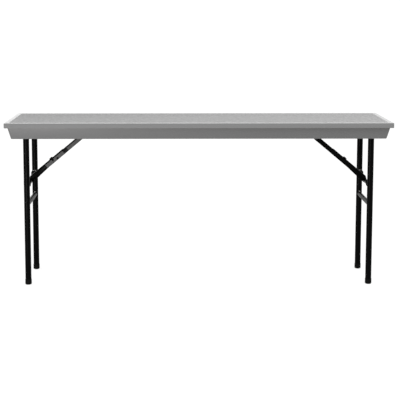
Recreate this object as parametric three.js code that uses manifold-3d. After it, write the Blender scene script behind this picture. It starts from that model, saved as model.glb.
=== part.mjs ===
// A folding table, 1.8 m long: a laminated top on a flared skirt, with a folding leg
// frame and a two-link knee brace at each end. Millimetres, +Z up. The origin is on
// the floor under the centre of the top, +X runs along the table and -Y is its front.

import * as THREE from 'three';
import { mergeVertices } from 'three/addons/utils/BufferGeometryUtils.js';
import Module from 'manifold-3d';

const wasm = await Module();
wasm.setup();

// ---------------------------------------------------------------- driving dimensions

const LENGTH = 1800;
const WIDTH = 457;
const HEIGHT = 779;
const GAP = 0.3; // free space between pieces that touch on the real table
const SMOOTH = 20; // sides of a tube
const FINE = 12; // sides of a small rivet or pin hole

const top = { thickness: 23, wall: 3, cornerRadius: 4 };
const underside = HEIGHT - top.thickness;

const skirt = {
  inset: 14, // from the edge of the top to the skirt's upper edge
  height: 52.7,
  draft: 14, // how far the wall leans in over its height
  wall: 3,
  flange: 22,
  lip: 9,
  cornerRadius: 8,
};

const leg = {
  x: 809, // leg axis to the centre of the table
  y: 147,
  radius: 14.3,
  bore: 12.8,
  top: 737,
  bottom: 8,
};

const foot = { radius: 15.4, height: 26, flatRadius: 9.8, round: 5.6, roundSteps: 3 };

const fold = { z: 722, rodRadius: 7, rodHalfLength: 162 };
const capNut = { radius: 10.5, thickness: 3.5 };
const saddle = { y: 104, width: 38, wall: 2.6, plate: 2.6, flangeReach: 32, play: 0.4 };

const lowerTube = { z: 383, radius: 11, bore: 9.5 };
const crossRod = { z: 475, radius: 9.5, pinRadius: 7.5 };
const lug = { thickness: 3.3, width: 34, low: 465, high: 503, round: 12 };

// The brace: two channels joined at a knee. Places along a link are measured from a
// pivot, and "rise" is the distance from the line of pivots towards the closed side.
const brace = {
  angle: THREE.MathUtils.degToRad(39.9), // to the floor, with the legs out
  upperPivotZ: 737,
  openRise: -5.8,
  closedRise: 19.4,
  metal: 1.6,
  halfWidth: 12,
  overlap: 45, // how far the lower link runs past the knee
  endRadius: 10.5, // round the cross rod
  neck: 12, // from the cross rod to where the closed side starts to drop
  taperStart: 0.36, // share of the lower link's length where its open side drops away
};
const nested = {
  halfWidth: 9.5,
  openRise: -5.5,
  closedRise: 17.5,
  metal: 1.5,
  tail: 12, // radius round the upper pivot
  shoulder: THREE.MathUtils.degToRad(110), // where the web leaves that radius
};
const bracket = { plate: 2.2, halfWidth: 22, tongue: 3, play: 2, eye: 8, back: 42, front: 18 };
const pin = { radius: 3, hole: 3.3, head: 5.5, headThickness: 1.6 };
const lock = {
  fromKnee: 23.4,
  rise: 8.5,
  hub: 5.5,
  nose: 7,
  halfThickness: 2.5,
  headLength: 18,
  headHeight: 4.6,
  headHalfWidth: 4,
  noseFlare: 0.45, // radians from the nose's point to the round of the hub
  play: 0.8, // beside the lever in its slot
  slotBefore: 12.5, // from the lever's rivet to the slot's ends
  slotAfter: 19,
};
const spring = { radius: 4.6, wire: 0.45, turns: 3, pitch: 1.15, wireSides: 6 };
const gusset = { leg: 46, thickness: 2.5, inset: 8 };

// The knee sits where both links lie level, one over the other, with the legs folded.
const crossRodReach = fold.z - crossRod.z;
const pivotRun = (brace.upperPivotZ - crossRod.z) / Math.tan(brace.angle);
const upperPivotX = leg.x - pivotRun;
const bracePivots = Math.hypot(pivotRun, brace.upperPivotZ - crossRod.z);
const foldedRun = leg.x - crossRodReach - upperPivotX;
const foldedDrop = brace.upperPivotZ - fold.z;
const upperLength = (bracePivots ** 2 - foldedRun ** 2 - foldedDrop ** 2) / (2 * (bracePivots - foldedRun));
const lowerLength = bracePivots - upperLength;

// ------------------------------------------------------------------------- materials

const finish = (color, roughness, metalness) =>
  new THREE.MeshStandardMaterial({ color, roughness, metalness });
const materials = {
  topPlastic: finish(0xa9a9a9, 0.6, 0),
  skirtPlastic: finish(0x767676, 0.45, 0),
  board: finish(0xb08a5c, 0.8, 0),
  blackSteel: finish(0x141414, 0.35, 0.2),
  zincSteel: finish(0xb4b6b8, 0.35, 0.9),
  footPlastic: finish(0x101010, 0.55, 0),
};

// ---------------------------------------------------------------------- solid helpers

const toSolid = (geometry) => {
  const plain = geometry.clone();
  plain.deleteAttribute('normal');
  plain.deleteAttribute('uv');
  const merged = mergeVertices(plain, 1e-4);
  return new wasm.Manifold(new wasm.Mesh({
    numProp: 3,
    vertProperties: new Float32Array(merged.attributes.position.array),
    triVerts: new Uint32Array(merged.index.array),
  }));
};

const toGeometry = (solid) => {
  const mesh = solid.getMesh();
  const geometry = new THREE.BufferGeometry();
  geometry.setAttribute('position', new THREE.BufferAttribute(mesh.vertProperties, 3));
  geometry.setIndex(new THREE.BufferAttribute(mesh.triVerts, 1));
  geometry.computeVertexNormals();
  return geometry;
};

const cut = (geometry, ...tools) =>
  toGeometry(tools.reduce((solid, tool) => solid.subtract(toSolid(tool)), toSolid(geometry)));
const join = (...pieces) =>
  toGeometry(pieces.map(toSolid).reduce((whole, piece) => whole.add(piece)));
const keepInside = (geometry, limit) => toGeometry(toSolid(geometry).intersect(toSolid(limit)));

const box = (x0, x1, y0, y1, z0, z1) =>
  new THREE.BoxGeometry(x1 - x0, y1 - y0, z1 - z0)
    .translate((x0 + x1) / 2, (y0 + y1) / 2, (z0 + z1) / 2);

// A closed shape in the XY plane from corner points.
const polygon = (points) => new THREE.Shape(points.map(([x, y]) => new THREE.Vector2(x, y)));

// A shape drawn in XY, made solid from z0 to z1.
const upright = (shape, z0, z1, curveSegments = SMOOTH / 5) =>
  new THREE.ExtrudeGeometry(shape, { depth: z1 - z0, bevelEnabled: false, curveSegments })
    .translate(0, 0, z0);

// A shape drawn with its second coordinate as height, made solid from y0 to y1.
const across = (shape, y0, y1, curveSegments = SMOOTH / 5) =>
  new THREE.ExtrudeGeometry(shape, { depth: y1 - y0, bevelEnabled: false, curveSegments })
    .rotateX(Math.PI / 2)
    .translate(0, y1, 0);

const turned = (profile, sides = SMOOTH) =>
  new THREE.LatheGeometry(profile.map(([r, z]) => new THREE.Vector2(r, z)), sides);
const standing = (profile) => turned(profile).rotateX(Math.PI / 2);

const rodAcross = (radius, y0, y1, x = 0, z = 0, sides = SMOOTH) =>
  new THREE.CylinderGeometry(radius, radius, y1 - y0, sides).translate(x, (y0 + y1) / 2, z);
const pinHole = (x = 0, z = 0) =>
  rodAcross(pin.hole, -2 * brace.halfWidth, 2 * brace.halfWidth, x, z, FINE);
const post = (radius, z0, z1, x = 0, y = 0) =>
  new THREE.CylinderGeometry(radius, radius, z1 - z0, SMOOTH)
    .rotateX(Math.PI / 2)
    .translate(x, y, (z0 + z1) / 2);

// A rivet across the table: a shank between two flat heads that start at halfGrip.
const rivet = (radius, headRadius, headThickness, halfGrip) => turned([
  [0, -halfGrip - headThickness],
  [headRadius * 0.7, -halfGrip - headThickness],
  [headRadius, -halfGrip - headThickness * 0.4],
  [headRadius, -halfGrip],
  [radius, -halfGrip],
  [radius, halfGrip],
  [headRadius, halfGrip],
  [headRadius, halfGrip + headThickness * 0.4],
  [headRadius * 0.7, halfGrip + headThickness],
  [0, halfGrip + headThickness],
], FINE);

const table = new THREE.Group();

const addPart = (parent, name, geometry, material) => {
  const mesh = new THREE.Mesh(geometry, material);
  mesh.name = name;
  parent.add(mesh);
};

// --------------------------------------------------------------------------- the top

const roundedRectangle = (length, width, radius) => {
  const x = length / 2;
  const y = width / 2;
  const shape = new THREE.Shape();
  shape.moveTo(x - radius, -y);
  shape.absarc(x - radius, -y + radius, radius, -Math.PI / 2, 0);
  shape.absarc(x - radius, y - radius, radius, 0, Math.PI / 2);
  shape.absarc(-x + radius, y - radius, radius, Math.PI / 2, Math.PI);
  shape.absarc(-x + radius, -y + radius, radius, Math.PI, Math.PI * 1.5);
  return shape;
};

const addTop = () => {
  const innerLength = LENGTH - 2 * top.wall;
  const innerWidth = WIDTH - 2 * top.wall;
  const innerRadius = top.cornerRadius - top.wall + GAP;
  const ceiling = HEIGHT - top.wall;
  const skin = cut(
    upright(roundedRectangle(LENGTH, WIDTH, top.cornerRadius), underside, HEIGHT, 4),
    upright(roundedRectangle(innerLength, innerWidth, innerRadius), underside - 1, ceiling, 4),
  );
  addPart(table, 'top_skin', skin, materials.topPlastic);
  const boardShape = roundedRectangle(innerLength - 2 * GAP, innerWidth - 2 * GAP, innerRadius);
  addPart(table, 'core_board', upright(boardShape, underside, ceiling - GAP, 4), materials.board);
};

// ------------------------------------------------------------------------- the skirt

// Section of a skirt rail: its first coordinate is the distance out from the centre
// of the table to that side, and its second is the height.
const skirtSection = (reach) => {
  const high = underside - GAP;
  const low = high - skirt.height;
  const lean = skirt.draft / skirt.height;
  const inner = (z) => reach - (high - z) * lean - skirt.wall;
  return polygon([
    [reach, high],
    [reach - skirt.draft, low],
    [reach - skirt.draft - skirt.lip, low],
    [reach - skirt.draft - skirt.lip, low + skirt.wall],
    [inner(low + skirt.wall), low + skirt.wall],
    [inner(high - skirt.wall), high - skirt.wall],
    [reach - skirt.flange, high - skirt.wall],
    [reach - skirt.flange, high],
  ]);
};

// A rounded rectangle that shrinks downwards, a hair larger than the skirt, so that it
// rounds the skirt's corners and leaves its flat sides alone.
const roundedForm = () => {
  const slice = (inset, z0, z1) => toSolid(upright(roundedRectangle(
    LENGTH - 2 * inset + GAP, WIDTH - 2 * inset + GAP, skirt.cornerRadius), z0, z1));
  const low = underside - skirt.height;
  return toGeometry(wasm.Manifold.hull([
    slice(skirt.inset, underside, underside + 1),
    slice(skirt.inset + skirt.draft, low - 1, low),
  ]));
};

const addSkirt = () => {
  const reachX = LENGTH / 2 - skirt.inset;
  const reachY = WIDTH / 2 - skirt.inset;
  const mitre = GAP * Math.SQRT1_2;
  const lowEnough = underside - 2 * skirt.height;
  // The mitre planes run at 45 degrees through the corners.
  const longWedge = upright(polygon([
    [-reachX + mitre - 1, -reachY - 1],
    [reachX - mitre + 1, -reachY - 1],
    [reachX - reachY - mitre, 0],
    [-reachX + reachY + mitre, 0],
  ]), lowEnough, underside);
  const shortWedge = upright(polygon([
    [reachX + 1, -reachY - 1 + mitre],
    [reachX + 1, reachY + 1 - mitre],
    [reachX - reachY + mitre, 0],
  ]), lowEnough, underside);
  const alongX = across(skirtSection(reachY), -LENGTH / 2, LENGTH / 2).rotateZ(-Math.PI / 2);
  const alongY = across(skirtSection(reachX), -WIDTH / 2, WIDTH / 2);
  const form = roundedForm();
  const longRail = keepInside(keepInside(alongX, longWedge), form);
  const shortRail = keepInside(keepInside(alongY, shortWedge), form);
  const rails = [['front', longRail, 0], ['back', longRail, Math.PI],
    ['right', shortRail, 0], ['left', shortRail, Math.PI]];
  for (const [side, geometry, turn] of rails) {
    addPart(table, `skirt_${side}`, geometry.clone().rotateZ(turn), materials.skirtPlastic);
  }

  // A flat steel triangle under the flanges ties each corner together.
  const cornerX = reachX - gusset.inset;
  const cornerY = reachY - gusset.inset;
  const plateTop = underside - 2 * GAP - skirt.wall;
  for (const [endName, endSign] of [['right', 1], ['left', -1]]) {
    for (const [sideName, sideSign] of [['front', -1], ['back', 1]]) {
      const corners = [
        [endSign * cornerX, sideSign * cornerY],
        [endSign * (cornerX - gusset.leg), sideSign * cornerY],
        [endSign * cornerX, sideSign * (cornerY - gusset.leg)],
      ];
      const plate = upright(polygon(corners), plateTop - gusset.thickness, plateTop);
      addPart(table, `corner_gusset_${sideName}_${endName}`, plate, materials.zincSteel);
    }
  }
};

// --------------------------------------------------- one end: +X is away from centre

// Saddle that hangs from the underside and holds the fold rod, centred on y.
const saddleGeometry = () => {
  const hangTop = underside - GAP;
  const inner = fold.rodRadius + saddle.play;
  const outer = inner + saddle.wall;
  const shape = new THREE.Shape();
  shape.moveTo(-saddle.flangeReach, hangTop);
  shape.lineTo(-saddle.flangeReach, hangTop - saddle.plate);
  shape.lineTo(-outer, hangTop - saddle.plate);
  shape.lineTo(-outer, fold.z);
  shape.absarc(0, fold.z, outer, Math.PI, 2 * Math.PI);
  shape.lineTo(outer, hangTop - saddle.plate);
  shape.lineTo(saddle.flangeReach, hangTop - saddle.plate);
  shape.lineTo(saddle.flangeReach, hangTop);
  shape.lineTo(inner, hangTop);
  shape.lineTo(inner, fold.z);
  shape.absarc(0, fold.z, inner, 0, Math.PI, true);
  shape.lineTo(-inner, hangTop);
  return across(shape, -saddle.width / 2, saddle.width / 2);
};

// Bracket under the top: a plate and a tongue with an eye for the upper brace pin.
// Its origin is the pin.
const bracketGeometry = () => {
  const plateTop = underside - GAP - brace.upperPivotZ;
  const plateLow = plateTop - bracket.plate;
  const plate = box(-bracket.back, bracket.front, -bracket.halfWidth, bracket.halfWidth, plateLow, plateTop);
  const shape = new THREE.Shape();
  shape.moveTo(bracket.eye, plateLow + 1);
  shape.lineTo(-2.5 * bracket.eye, plateLow + 1);
  shape.lineTo(-bracket.eye, 0);
  shape.absarc(0, 0, bracket.eye, Math.PI, 2 * Math.PI);
  const tongue = across(shape, -bracket.tongue, bracket.tongue);
  return cut(join(plate, tongue), pinHole());
};

const legGeometry = (y) => {
  const wall = [
    [leg.bore, leg.bottom], [leg.radius, leg.bottom],
    [leg.radius, leg.top], [leg.bore, leg.top], [leg.bore, leg.bottom],
  ];
  const tube = standing(wall).translate(0, y, 0);
  const reach = 2 * leg.radius;
  return cut(tube, rodAcross(fold.rodRadius + GAP, y - reach, y + reach, 0, fold.z));
};

const footGeometry = () => {
  const cup = leg.radius + GAP;
  const floor = leg.bottom - GAP;
  const corner = new THREE.Path()
    .absarc(foot.flatRadius, foot.round, foot.round, -Math.PI / 2, 0)
    .getPoints(foot.roundSteps)
    .map((point) => [point.x, point.y]);
  return standing([
    [0, 0], ...corner, [foot.radius, foot.height], [cup, foot.height], [cup, floor], [0, floor],
  ]);
};

// Plate on the inner side of a leg that the cross rod is welded to. The leg is at the
// origin, and +Y points to the other leg.
const lugGeometry = () => {
  const near = leg.radius + GAP;
  const shape = roundedRectangle(lug.width, lug.high - lug.low, lug.round);
  return across(shape, near, near + lug.thickness).translate(0, 0, (lug.low + lug.high) / 2);
};

const lowerTubeGeometry = () => {
  const half = leg.y - leg.radius / 2;
  const wall = [
    [lowerTube.bore, -half], [lowerTube.radius, -half],
    [lowerTube.radius, half], [lowerTube.bore, half], [lowerTube.bore, -half],
  ];
  const tube = turned(wall).translate(0, 0, lowerTube.z);
  const legs = [-1, 1].map((side) => post(
    leg.radius + GAP, lowerTube.z - leg.y, lowerTube.z + leg.y, 0, side * leg.y));
  return cut(tube, ...legs);
};

// From the lug at the leg at y = -leg.y to the face of the brace.
const crossRodGeometry = () => {
  const start = -leg.y + leg.radius + lug.thickness + 2 * GAP;
  return rodAcross(crossRod.radius, start, -brace.halfWidth - GAP, 0, crossRod.z);
};

// A channel with its outline in the link's plane: the closed side is at high rise.
const channel = (outline, halfWidth, metal, closedRise, reach) => {
  const inside = halfWidth - metal;
  const hollow = box(-reach, reach, -inside, inside, -reach, closedRise - metal);
  return cut(across(outline, -halfWidth, halfWidth), hollow);
};

// Origin at the upper pivot, +X towards the knee, +Z towards the closed side.
const upperLinkGeometry = () => {
  const { openRise, closedRise, tail, shoulder } = nested;
  const kneeReach = closedRise;
  const lowAngle = Math.asin(openRise / kneeReach);
  const tailEnd = Math.PI + Math.asin(-openRise / tail);
  const outline = new THREE.Shape();
  outline.moveTo(tail * Math.cos(tailEnd), openRise);
  outline.lineTo(upperLength + kneeReach * Math.cos(lowAngle), openRise);
  outline.absarc(upperLength, 0, kneeReach, lowAngle, Math.PI / 2);
  outline.lineTo(2.5 * tail, closedRise); // clear of the bracket's plate when folded
  outline.absarc(0, 0, tail, shoulder, tailEnd);
  const body = channel(outline, nested.halfWidth, nested.metal, closedRise, 2 * upperLength);
  const slotHalf = bracket.tongue + bracket.play;
  const slot = box(-2 * tail, 1.5 * tail, -slotHalf, slotHalf, openRise, 2 * closedRise);
  return cut(body, slot, pinHole(), pinHole(upperLength));
};

// Origin at the knee, +X towards the cross rod, +Z towards the closed side.
const lowerLinkGeometry = () => {
  const { openRise, closedRise, overlap, endRadius } = brace;
  const outline = new THREE.Shape();
  outline.moveTo(-overlap, openRise);
  outline.lineTo(lowerLength * brace.taperStart, openRise);
  outline.lineTo(lowerLength - 3 * endRadius, -endRadius);
  outline.lineTo(lowerLength, -endRadius);
  outline.absarc(lowerLength, 0, endRadius, -Math.PI / 2, Math.PI / 2);
  outline.lineTo(lowerLength - brace.neck, closedRise);
  outline.lineTo(-overlap, closedRise);
  const body = channel(outline, brace.halfWidth, brace.metal, closedRise, 2 * lowerLength);
  const slotHalf = lock.headHalfWidth + lock.play;
  const slotStart = lock.fromKnee - lock.slotBefore;
  const slotEnd = lock.fromKnee + lock.slotAfter;
  const slot = box(slotStart, slotEnd, -slotHalf, slotHalf, lock.rise, 2 * closedRise);
  return cut(body, slot, pinHole(), pinHole(lock.fromKnee, lock.rise));
};

// Thumb lever on its rivet: a hub with a nose towards the knee, and a head that
// stands out of the lower link's closed side. Origin at the knee, as the link.
const lockLeverGeometry = () => {
  const towardsKnee = Math.atan2(-lock.rise, -lock.fromKnee);
  const noseX = lock.fromKnee + lock.nose * Math.cos(towardsKnee);
  const noseZ = lock.rise + lock.nose * Math.sin(towardsKnee);
  const headLow = brace.closedRise + GAP;
  const headStart = lock.fromKnee - lock.hub;
  const shape = new THREE.Shape();
  shape.moveTo(lock.fromKnee + lock.hub, lock.rise);
  shape.lineTo(lock.fromKnee + lock.hub, headLow + 1);
  shape.lineTo(headStart, headLow + 1);
  shape.lineTo(headStart, lock.rise);
  shape.lineTo(noseX, noseZ);
  const flareEnd = towardsKnee + lock.noseFlare + 2 * Math.PI;
  shape.absarc(lock.fromKnee, lock.rise, lock.hub, flareEnd, 2 * Math.PI);
  const stem = across(shape, -lock.halfThickness, lock.halfThickness);
  const headHigh = headLow + lock.headHeight;
  const bevel = lock.headHeight / 2;
  const head = across(polygon([
    [headStart, headLow],
    [headStart + lock.headLength, headLow],
    [headStart + lock.headLength, headHigh - bevel],
    [headStart + lock.headLength - bevel, headHigh],
    [headStart + bevel, headHigh],
    [headStart, headHigh - bevel],
  ]), -lock.headHalfWidth, lock.headHalfWidth);
  return cut(join(stem, head), pinHole(lock.fromKnee, lock.rise));
};

class Helix extends THREE.Curve {
  getPoint(t) {
    const turn = 2 * Math.PI * spring.turns * t;
    return new THREE.Vector3(
      spring.radius * Math.cos(turn), spring.pitch * spring.turns * t, spring.radius * Math.sin(turn));
  }
}

// Torsion spring beside the lever, round the same rivet.
const lockSpringGeometry = () => {
  const wire = new THREE.Shape().absarc(0, 0, spring.wire, 0, 2 * Math.PI);
  return new THREE.ExtrudeGeometry(wire, {
    steps: FINE * spring.turns, extrudePath: new Helix(), curveSegments: spring.wireSides / 2,
  }).translate(lock.fromKnee, lock.halfThickness + spring.wire + GAP, lock.rise);
};

const addEnd = (endName, turn) => {
  const end = new THREE.Group();
  end.rotation.z = turn;
  table.add(end);
  // The end's own -Y side is the table's front at the right end and its back at the left.
  const sides = turn === 0 ? [['front', -1], ['back', 1]] : [['back', -1], ['front', 1]];

  const legs = new THREE.Group();
  legs.position.x = leg.x;
  end.add(legs);
  for (const [side, sign] of sides) {
    const place = `${side}_${endName}`;
    const turnToSide = sign < 0 ? 0 : Math.PI;
    const hingeSaddle = saddleGeometry().translate(0, sign * saddle.y, 0);
    addPart(legs, `hinge_saddle_${place}`, hingeSaddle, materials.zincSteel);
    addPart(legs, `leg_${place}`, legGeometry(sign * leg.y), materials.blackSteel);
    addPart(legs, `foot_${place}`, footGeometry().translate(0, sign * leg.y, 0), materials.footPlastic);
    const lugPlace = new THREE.Matrix4().makeRotationZ(turnToSide).setPosition(0, sign * leg.y, 0);
    addPart(legs, `rod_lug_${place}`, lugGeometry().applyMatrix4(lugPlace), materials.blackSteel);
    addPart(legs, `cross_rod_${place}`, crossRodGeometry().rotateZ(turnToSide), materials.blackSteel);
    const capY = sign * (fold.rodHalfLength + GAP + capNut.thickness / 2);
    const cap = rodAcross(capNut.radius, -capNut.thickness / 2, capNut.thickness / 2, 0, fold.z);
    addPart(legs, `fold_rod_cap_${place}`, cap.translate(0, capY, 0), materials.zincSteel);
  }
  const foldRod = rodAcross(fold.rodRadius, -fold.rodHalfLength, fold.rodHalfLength, 0, fold.z);
  addPart(legs, `fold_rod_${endName}`, foldRod, materials.zincSteel);
  addPart(legs, `lower_cross_tube_${endName}`, lowerTubeGeometry(), materials.blackSteel);

  const upper = new THREE.Group();
  upper.position.set(upperPivotX, 0, brace.upperPivotZ);
  end.add(upper);
  addPart(upper, `brace_bracket_${endName}`, bracketGeometry(), materials.blackSteel);
  const upperPin = rivet(pin.radius, pin.head, pin.headThickness, nested.halfWidth + GAP);
  addPart(upper, `brace_upper_pin_${endName}`, upperPin, materials.zincSteel);

  const slope = new THREE.Group();
  slope.rotation.y = brace.angle;
  upper.add(slope);
  addPart(slope, `brace_upper_link_${endName}`, upperLinkGeometry(), materials.blackSteel);

  const knee = new THREE.Group();
  knee.position.x = upperLength;
  slope.add(knee);
  const grip = brace.halfWidth + GAP;
  const kneeRivet = rivet(pin.radius, pin.head, pin.headThickness, grip);
  const lockRivet = kneeRivet.clone().translate(lock.fromKnee, 0, lock.rise);
  const pinHalf = brace.halfWidth - brace.metal - GAP;
  const lowerPin = rodAcross(crossRod.pinRadius, -pinHalf, pinHalf, lowerLength);
  addPart(knee, `brace_lower_link_${endName}`, lowerLinkGeometry(), materials.blackSteel);
  addPart(knee, `brace_lower_pin_${endName}`, lowerPin, materials.blackSteel);
  addPart(knee, `knee_rivet_${endName}`, kneeRivet, materials.blackSteel);
  addPart(knee, `lock_rivet_${endName}`, lockRivet, materials.blackSteel);
  addPart(knee, `lock_lever_${endName}`, lockLeverGeometry(), materials.blackSteel);
  addPart(knee, `lock_spring_${endName}`, lockSpringGeometry(), materials.zincSteel);
};

addTop();
addSkirt();
addEnd('right', 0);
addEnd('left', Math.PI);

export default table;
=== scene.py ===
import math

import bmesh
import bpy
from mathutils import Matrix, Vector


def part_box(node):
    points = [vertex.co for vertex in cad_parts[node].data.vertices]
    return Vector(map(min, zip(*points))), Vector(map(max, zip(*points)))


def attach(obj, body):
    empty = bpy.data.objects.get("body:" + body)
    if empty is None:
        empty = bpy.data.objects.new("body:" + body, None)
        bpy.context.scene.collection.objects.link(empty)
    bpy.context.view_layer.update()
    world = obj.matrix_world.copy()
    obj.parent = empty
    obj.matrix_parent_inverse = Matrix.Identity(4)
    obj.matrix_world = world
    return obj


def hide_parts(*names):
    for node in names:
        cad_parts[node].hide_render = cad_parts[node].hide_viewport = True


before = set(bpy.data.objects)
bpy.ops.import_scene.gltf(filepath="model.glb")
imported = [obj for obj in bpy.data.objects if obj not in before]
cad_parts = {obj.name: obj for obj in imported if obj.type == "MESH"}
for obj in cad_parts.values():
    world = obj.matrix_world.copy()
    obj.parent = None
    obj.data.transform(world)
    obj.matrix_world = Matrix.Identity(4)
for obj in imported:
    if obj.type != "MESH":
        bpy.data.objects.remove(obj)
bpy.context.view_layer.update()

# Folding table. Its lengths are millimetres here, and make_object() turns them into
# metres; the lights and the camera are in metres. Each end of the table is built as the
# right-hand one, +X pointing away from the centre, and the left one is that turned half
# way round.

MM = 0.001
HALF_TURN = Matrix.Rotation(math.pi, 4, "Z")

# ------------------------------------------------------------------ sizes from the CAD


def cad_box(node):
    low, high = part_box(node)
    return low / MM, high / MM


top_low, top_high = cad_box("top_skin")
skirt_low, skirt_high = cad_box("skirt_front")
leg_low, leg_high = cad_box("leg_front_right")
rod_low, rod_high = cad_box("fold_rod_right")
tube_low, tube_high = cad_box("lower_cross_tube_right")
cross_low, cross_high = cad_box("cross_rod_front_right")
lug_low, lug_high = cad_box("rod_lug_front_right")
pivot_low, pivot_high = cad_box("brace_upper_pin_right")
knee_low, knee_high = cad_box("knee_rivet_right")
cap_low, cap_high = cad_box("fold_rod_cap_front_right")
saddle_low, saddle_high = cad_box("hinge_saddle_front_right")
foot_low, foot_high = cad_box("foot_front_right")
bracket_high = cad_box("brace_bracket_right")[1]

HALF_LENGTH = top_high.x
HALF_WIDTH = top_high.y
TABLE_HEIGHT = top_high.z
UNDERSIDE = top_low.z

LEG_X = (leg_low.x + leg_high.x) / 2
LEG_Y = -(leg_low.y + leg_high.y) / 2
LEG_RADIUS = (leg_high.x - leg_low.x) / 2
FOLD_Z = (rod_low.z + rod_high.z) / 2
ROD_RADIUS = (rod_high.z - rod_low.z) / 2
TUBE_Z = (tube_low.z + tube_high.z) / 2
TUBE_RADIUS = (tube_high.z - tube_low.z) / 2
CROSS_Z = (cross_low.z + cross_high.z) / 2
CROSS_RADIUS = (cross_high.z - cross_low.z) / 2
PIN_RADIUS = 7.5  # of the cross rod's middle part, inside the brace
PIVOT = Vector(((pivot_low.x + pivot_high.x) / 2, 0, (pivot_low.z + pivot_high.z) / 2))
KNEE = Vector(((knee_low.x + knee_high.x) / 2, 0, (knee_low.z + knee_high.z) / 2))

# ------------------------------------------------------------------------ fine detail

TURN_STEPS = 64  # sides of a tube
BEND_STEPS = 5  # of a bend in sheet metal
ROUND_STEPS = 20  # of a rounded end
PLATE_ROUND = 0.5  # on the edges of a cut plate
SHEET_ROUND = 0.4  # on the edges of a strap or a lever
top_edge = {
    "lower_round": 0.8, "upper_round": 2.2, "upper_steps": 8, "steps_in_border": 3,
    "corner": 4.0, "least_corner": 1.2, "wall": 3.0,
}
border = {"width": 20.0, "slope": 1.0, "step": 0.35, "brink_in": 0.3, "brink_down": 0.0525}
skirt = {
    "inset": 14.0, "draft": 14.0, "wall": 3.0, "flange": 22.0, "lip": 9.0, "corner": 8.0,
    "least_corner": 1.0, "top_round": 1.5, "hem_round": 4.0, "inner_round": 1.0,
}
skirt_screws = {"share_of_flange": 0.62, "spaces": 8, "first": 70.0, "at_the_ends": (-90, 0, 90)}
gusset = {"corner": 3.0, "tip": 4.0, "screw_shares": ((0.25, 0.2), (0.62, 0.14), (0.18, 0.58))}
leg = {"wall": 1.5, "top_round": 0.6}
foot = {
    "round": 5.6, "rim_height": 0.72, "rim_width": 0.48, "play": 0.05, "groove_depth": 0.5,
    "groove": (5.0, 4.6, 4.0, 3.6),  # heights of the groove's four corners, below the rim
}
lug = {"thickness": 3.3, "gap": 0.3, "round": 12.0, "edge_round": 0.8}
saddle = {
    "wall": 2.6, "play": 0.4, "reach": 32.0, "centre_y": 104.0, "bend": 0.6,
    "screw_from_end": 8.0, "screw_share": 0.5,
}
fold_rod_round = 0.8
push_cap = {"dome": 0.9, "shares": (0.98, 0.9, 0.7, 0.4)}
link_angle = math.atan2(PIVOT.z - KNEE.z, KNEE.x - PIVOT.x)
upper_length = (KNEE - PIVOT).length
cross_rod_place = Vector((LEG_X, 0, CROSS_Z))
lower_length = (cross_rod_place - KNEE).length
# A link is a U channel. Its open and closed sides lie that far from the line of its
# pivots; web_start, slot_end and the bracket's root are multiples of tail and eye.
upper_link = {
    "half": 9.5, "open": -5.5, "closed": 17.5, "metal": 1.5, "bend": 3.0, "edge_round": 0.35,
    "tail": 12.0, "shoulder": 110, "web_start": 2.5, "slot_end": 1.5, "slot_play": 2.0,
}
lower_link = {
    "half": 12.0, "open": -5.8, "closed": 19.4, "metal": 1.6, "bend": 3.6, "edge_round": 0.4,
    "overlap": 45.0, "end_radius": 10.5, "taper_start": 0.36, "taper_end": 31.5,
    "neck": 12.0,  # from the cross rod to where the closed side stops
}
bracket = {
    "plate": 2.2, "half": 22.0, "corner": 4.0, "tongue": 3.0, "eye": 8.0, "root": 2.5,
    "overlap": 1.0, "back": 42.0, "front": 18.0,
}
bracket_screws = {"from_back": 9.0, "from_front": 8.0, "from_side": 7.0}
pin = {"radius": 3.0, "head": 5.5, "dome": 1.6, "rim_share": 0.35, "play": 0.3}
lock = {
    "from_knee": 23.4, "rise": 8.5, "hub": 5.5, "nose": 7.0, "half": 2.5, "overlap": 1.0,
    "head_length": 18.0, "head_height": 4.6, "head_half": 4.0, "head_round": 0.6,
    "head_side": 1.6, "head_slope": 1.6, "flare": 0.45, "play": 0.8, "slot_before": 12.5,
    "slot_after": 19.0, "gap": 0.3,
}
ridge = {"count": 4, "radius": 0.7, "half": 8.0, "lift": 0.2}
spring = {"radius": 4.6, "wire": 0.45, "turns": 3, "pitch": 1.15, "steps": 32}
screw = {
    "head": 4.2, "height": 2.4, "dome_power": 0.8, "recess": 1.0, "cross": 2.6, "arm_half": 0.45,
}
weld = {"radius": 1.7, "ripple": 0.22, "waves": (11, 5)}
lug_weld = {"x": 6.0, "sunk": 0.6, "from_end": 3.0, "steps": 40, "end_out": 1.2}
crown_weld = {"x": (-4, -2, 0, 2, 4), "out": 0.6, "up": 1.6}
label = {"thickness": 0.15, "from_open": 0.4, "from_bend": 3.0, "corner": 2.0}
upper_label_ends = (34.0, upper_length - 66.0)
lower_label_ends = (4.0 - lower_link["overlap"], 68.0)

# --------------------------------------------------------------------------- materials


def new_material(name, color, roughness, metallic=0.0, specular=0.5):
    material = bpy.data.materials.new(name)
    material.use_nodes = True
    shader = material.node_tree.nodes["Principled BSDF"]
    shader.inputs["Base Color"].default_value = (*color, 1.0)
    shader.inputs["Roughness"].default_value = roughness
    shader.inputs["Metallic"].default_value = metallic
    shader.inputs["Specular IOR Level"].default_value = specular
    return material


def object_coordinates(material):
    tree = material.node_tree
    found = tree.nodes.get("Texture Coordinate")
    return (found or tree.nodes.new("ShaderNodeTexCoord")).outputs["Object"]


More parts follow.
